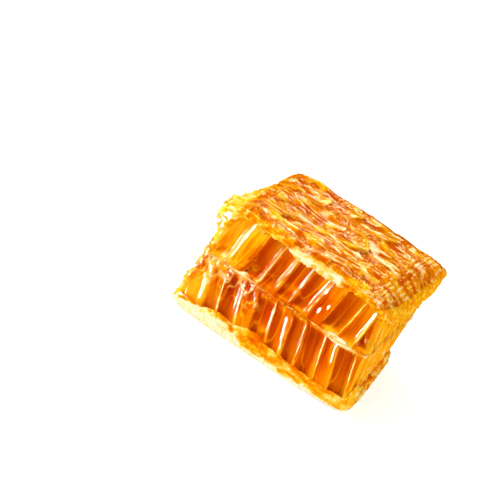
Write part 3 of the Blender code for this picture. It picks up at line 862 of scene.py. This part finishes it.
def top_skirt(rim, rim_height):
    """The capping's edge, from the height of the sheet's rim down the cut: rings of a quarter turn, rings
    that stand out by the skirt's flare and thickness, and three behind it. Noise crumples and folds them,
    most on the flap. Gives the rings and what the material reads: amber and wax by the folds, with wax on
    the flap and the ribbon, and a lighter amber on the right side, which is painted light."""
    left, right, front, _ = rim.sides
    seam_height = top_seam(rim.across, rim.back)
    start = rim.at(seam_height, 0.0)
    crest = rim_height - start[:, 2]
    long = skirt_length(rim.across, rim.back, rim.sides)
    long = long + (0.5 + 0.5 * (left + right)) * rough(*start.T, (1.1, 1.1, 9), 101)
    long = np.maximum(0.4, long)
    flap = left * ease((0.62 - rim.back) / 0.45)
    ribbon = front * ribbon_share(rim.across)
    thin = 1 - front * (0.72 - 0.42 * ribbon)
    rings = []
    for turn in (0.3, 0.62, 1.0):
        angle = turn * math.pi / 2
        out = (GAP + SKIRT_THICK * 1.05) * thin * math.sin(angle)
        rings.append(rim.at(seam_height + crest * math.cos(angle), out))
    for down in np.linspace(0.06, 1.0, SKIRT_RINGS):
        thick = SKIRT_THICK * (1.15 - 0.5 * down) * (1.0 if down < 0.95 else 0.6)
        thick = thick + flap * (FLAP_THICK + 0.6) * math.sin(math.pi * min(1.0, down + 0.15)) ** 0.7
        rings.append(rim.at(seam_height - long * down, (GAP + SKIRT_FLARE * down + thick) * thin))
    rings.append(rim.at(seam_height - long, 0.25))
    rings.append(rim.at(seam_height - long * 0.6, -0.1))
    rings.append(rim.at(seam_height - 0.4, -0.6))
    for k, ring in enumerate(rings[:-1]):
        share = (0.45, 0.8)[k] if k < 2 else 1.0
        crumple = rough(*ring.T, (1.7, 1.5, 1.1), 103) * (0.28 + 0.5 * flap)
        fine = 0.75 * flap + 0.45 * front * (1 - ribbon)
        crumple = crumple + fine * rough(*ring.T, (0.9, 0.9, 0.9), 107, 2)
        folded = (creased(*ring.T, (1.6, 1.3, 1.0), 105) - 0.5) * (0.75 * (1 - 0.7 * ribbon) + 0.9 * flap)
        ring[:, :2] += rim.out * (share * (crumple + folded) * thin)[:, None]
        ring[:, 2] += share * (0.35 * crumple + 0.25 * rough(*ring.T, (0.9, 0.9, 0.9), 104))
    folds = creased(*np.concatenate(rings).T, (1.6, 1.3, 1.0), 105)
    on_flap, on_ribbon, on_right = (np.tile(side, len(rings)) for side in (flap, ribbon, right))
    values = {
        # Painted light: the right side's amber is lighter
        "tone": 0.3 + 1.0 * (folds - 0.3) + 0.4 * on_flap + 0.2 * on_right,
        "wax": (2.4 * folds - 1.5) * (1 - 0.6 * on_ribbon) + 1.1 * on_flap + 0.95 * on_ribbon,
        "pale": 1.2 * folds - 0.35 + (0.9 * folds - 0.2) * on_flap + 0.5 * on_ribbon,
    }
    return rings, values


def top_capping():
    """The wet capping: a wrinkled sheet that rolls over the cut edge, droops as a thin ribbon in front, is
    smeared down the right side and hangs as a crumpled flap on the left. The sheet's border is joined to the
    skirt's first ring, and a fan closes its last one under the sheet. Gives the points of both."""
    top, sheet_values = top_sheet()
    index = np.arange(top[..., 0].size).reshape(TOP_ROWS + 1, TOP_COLUMNS + 1)
    border = np.concatenate([index[0, :-1], index[:-1, -1], index[-1, :0:-1], index[:0:-1, 0]])
    grid = top.reshape(-1, 3)
    rim = Rim(TOP_COLUMNS, TOP_ROWS, TOP_COLUMNS, TOP_ROWS)
    rings, skirt_values = top_skirt(rim, grid[border][:, 2])
    first, count = len(grid), rim.count
    steps = np.arange(count)
    join = np.stack([border, np.roll(border, -1), np.roll(steps, -1) + first, steps + first], 1)
    hanging = grid_faces(len(rings), count, True, first)
    faces = np.concatenate([grid_faces(TOP_ROWS + 1, TOP_COLUMNS + 1), join[:, ::-1], hanging[:, ::-1]])
    points = np.concatenate([grid, *rings, [[0.0, 0.0, CAPPING_SEAM - 0.5]]])
    caps = fan_faces(first + (len(rings) - 1) * count + steps, len(points) - 1, True)[:, ::-1]
    values = {key: np.concatenate([on.ravel(), skirt_values[key]]) for key, on in sheet_values.items()}
    mesh_piece("top_capping_wax", points, [faces, caps], top_wax, "capping_upper", "top_capping", values)
    return top, np.array(rings)


def grain_shape():
    """A ball of radius 1 with 80 triangles: the twelve corners of an icosahedron, from the golden ratio, and
    the middles of its edges pushed out as far, with each of its faces split in four."""
    golden = (1 + math.sqrt(5)) / 2
    corners = [(-1, golden, 0), (1, golden, 0), (-1, -golden, 0), (1, -golden, 0)]
    turned = [corner[2:] + corner[:2] for corner in corners]
    corners += turned + [corner[1:] + corner[:1] for corner in corners]
    ball = np.array(corners, float) / math.hypot(1, golden)
    gaps = np.linalg.norm(ball[:, None] - ball[None], axis=2)
    joined = (gaps > 0.1) & (gaps < gaps[gaps > 0.1].min() * 1.1)
    triangles = [
        (i, j, k)
        for i in range(12)
        for j in range(i)
        for k in range(j)
        if joined[i, j] and joined[j, k] and joined[i, k]
    ]
    middles = {frozenset(pair): 12 + n for n, pair in enumerate(np.argwhere(np.triu(joined)).tolist())}
    halves = np.array([ball[list(pair)].sum(axis=0) for pair in middles])
    small = []
    for triangle in triangles:
        a, b, c = triangle if np.linalg.det(ball[list(triangle)]) > 0 else triangle[::-1]
        ab, bc, ca = middles[frozenset((a, b))], middles[frozenset((b, c))], middles[frozenset((c, a))]
        small += [(a, ab, ca), (ab, b, bc), (ca, bc, c), (ab, bc, ca)]
    return np.concatenate([ball, halves / np.linalg.norm(halves, axis=1, keepdims=True)]), np.array(small)


def crumbs(lower, upper, top, skirt):
    """Torn flakes and grains of wax, stuck on points of the other pieces drawn by chance. Each is a small
    ball, flattened and dented, turned by the orthogonal part of a random matrix and scaled by chance."""
    draw = np.random.default_rng(7)
    ball, small = grain_shape()
    rows, count = lower.shape[:2]
    near_left = np.r_[count - LEFT_STEPS // 5 : count, 0:4]
    in_front = np.arange(6, FRONT_STEPS - 6)
    columns = top.shape[1]
    # How many lie on which points, with their least and greatest size: the near left corner of both layers,
    # the near end of the flap, both edges of the midrib, over it at the left, under the capping, and the
    # left half and the right end of the capping's front
    places = (
        (60, upper[: rows * 2 // 3, near_left], (0.25, 0.75)),
        (36, lower[rows // 3 :, near_left], (0.2, 0.6)),
        (46, skirt[2:SKIRT_RINGS, -TOP_ROWS // 3 :], (0.25, 0.8)),
        (12, upper[:3, in_front], (0.25, 0.6)),
        (12, lower[-3:, in_front], (0.25, 0.6)),
        (8, upper[: rows // 5, in_front[: FRONT_STEPS // 3]], (0.2, 0.5)),
        (16, upper[-rows // 8 :, in_front], (0.15, 0.4)),
        (36, top[: TOP_ROWS // 12, : columns // 2], (0.15, 0.5)),
        (60, top[: TOP_ROWS // 6, columns * 3 // 4 :], (0.15, 0.5)),
    )
    points, faces, tones = [], [], []
    for number, surface, size in places:
        surface = surface.reshape(-1, 3)
        for middle in surface[draw.integers(len(surface), size=number)]:
            turn, _ = np.linalg.qr(draw.normal(size=(3, 3)))
            turn[:, 0] *= np.linalg.det(turn)
            scale = draw.uniform(*size) * np.array([1.2, draw.uniform(0.5, 0.9), draw.uniform(0.15, 0.4)])
            dents = 1 + draw.uniform(-0.45, 0.45, (len(ball), 1))
            faces.append(small + len(ball) * len(points))
            points.append((ball * dents * scale) @ turn.T + middle)
            tones.append(np.full(len(ball), draw.uniform(0, 1)))
    tones = np.concatenate(tones)
    values = {"tone": 0.3 + 0.7 * tones, "wax": 0.1 + 0.8 * tones, "pale": 0.7 * tones}
    points, faces = np.concatenate(points), [np.concatenate(faces)]
    mesh_piece("wax_crumbs", points, faces, base_wax, "capping_upper", "top_capping", values)


# The studio


def light(name, place, aim, size, watts, color="FFFFFF"):
    """A rectangular softbox at a place, turned to an aim, both in mm."""
    lamp = bpy.data.lights.new(name, "AREA")
    lamp.shape = "RECTANGLE"
    lamp.size = size[0] / 1000
    lamp.size_y = size[1] / 1000
    lamp.energy = watts
    lamp.color = linear(color)[:3]
    holder = bpy.data.objects.new(name, lamp)
    bpy.context.scene.collection.objects.link(holder)
    holder.location = Vector(place) / 1000
    holder.rotation_euler = (Vector(place) - Vector(aim)).to_track_quat("Z", "Y").to_euler()


def around(azimuth, elevation, distance):
    """A place round the chunk in mm, by the camera's own angles: 0 is in front of the cut face, 90 right.
    The azimuth's sine and cosine are shortened by the elevation's cosine, and its sine is the height."""
    a, e = math.radians(azimuth), math.radians(elevation)
    return Vector((math.sin(a) * math.cos(e), -math.cos(a) * math.cos(e), math.sin(e))) * distance


def studio():
    """A white room and floor, and softboxes. Only the camera sees the room as pure white. Wet surfaces mirror
    a darker one, so that their honey keeps its colour, and the softboxes, one of which stands below the
    table's edge, where the upright walls of the cells mirror it."""
    world = bpy.data.worlds.new("white studio")
    bpy.context.scene.world = world
    world.use_nodes = True
    tree = world.node_tree
    path = add(tree, "LightPath")
    plug(tree, tree.nodes["Background"], {"Color": WHITE, "Strength": WORLD_LIGHT})
    surface = tree.nodes["Background"].outputs[0]
    for ray, strength in (("Is Glossy Ray", WORLD_MIRRORED), ("Is Camera Ray", WORLD_SEEN)):
        seen = add(tree, "Background", {"Color": WHITE, "Strength": strength})
        both = add(tree, "MixShader", {0: path.outputs[ray], 1: surface, 2: seen.outputs[0]})
        surface = both.outputs[0]
    plug(tree, tree.nodes["World Output"], {"Surface": surface})

    middle = (0, 0, 16)
    light("back softbox", around(194, 37, 420), middle, (170, 70), 0.25, "FFECB8")
    light("top left softbox", around(-62, 38, 380), middle, (90, 120), 1.1, "FFF6DC")
    light("low left softbox", around(-67, -23, 400), middle, (50, 260), 9.0, "FFF6DC")
    light("right softbox", around(98, 22, 420), middle, (200, 150), 0.45)

    # Matt white paper, three metres of it: no highlights, and a little light of its own keeps it white
    bpy.ops.mesh.primitive_plane_add(size=3.0, location=(0, 0, 0))
    floor = bpy.context.object
    floor.name = "white_floor"
    floor.visible_glossy = False
    paper = bpy.data.materials.new("white paper")
    paper.use_nodes = True
    looks = {
        "Base Color": WHITE,
        "Roughness": 0.9,
        "Specular IOR Level": 0.0,
        "Emission Color": WHITE,
        "Emission Strength": 0.3,
    }
    plug(paper.node_tree, paper.node_tree.nodes["Principled BSDF"], looks)
    floor.data.materials.append(paper)


def camera():
    """The camera, where the photograph was taken, looks at a point counted from the front left corner. Its
    right and up are turned by the roll, as the photograph shows the chunk tilted, and here it lies flat."""
    back = around(CAMERA_AZIMUTH, CAMERA_ELEVATION, 1.0)
    level = Vector((0, 0, 1)).cross(back).normalized()
    rise = back.cross(level)
    right = level * math.cos(CAMERA_ROLL) + rise * math.sin(CAMERA_ROLL)
    up = rise * math.cos(CAMERA_ROLL) - level * math.sin(CAMERA_ROLL)
    aim = Vector((-LENGTH_TOP / 2, -DEPTH / 2, 0)) + Vector(SHIFT) + Vector(AIM_FROM_CORNER)
    lens = bpy.data.cameras.new("camera")
    lens.lens = CAMERA_LENS
    lens.sensor_width = 36
    lens.clip_start = 0.01
    lens.clip_end = 20
    holder = bpy.data.objects.new("camera", lens)
    bpy.context.scene.collection.objects.link(holder)
    turn = Matrix((right, up, back)).transposed().to_4x4()
    holder.matrix_world = Matrix.Translation((aim + back * CAMERA_DISTANCE) / 1000) @ turn
    bpy.context.scene.camera = holder


layers = comb()
midrib()
base_capping()
crumbs(*layers, *top_capping())
studio()
camera()
bpy.context.scene.view_settings.view_transform = "Standard"
bpy.context.view_layer.update()
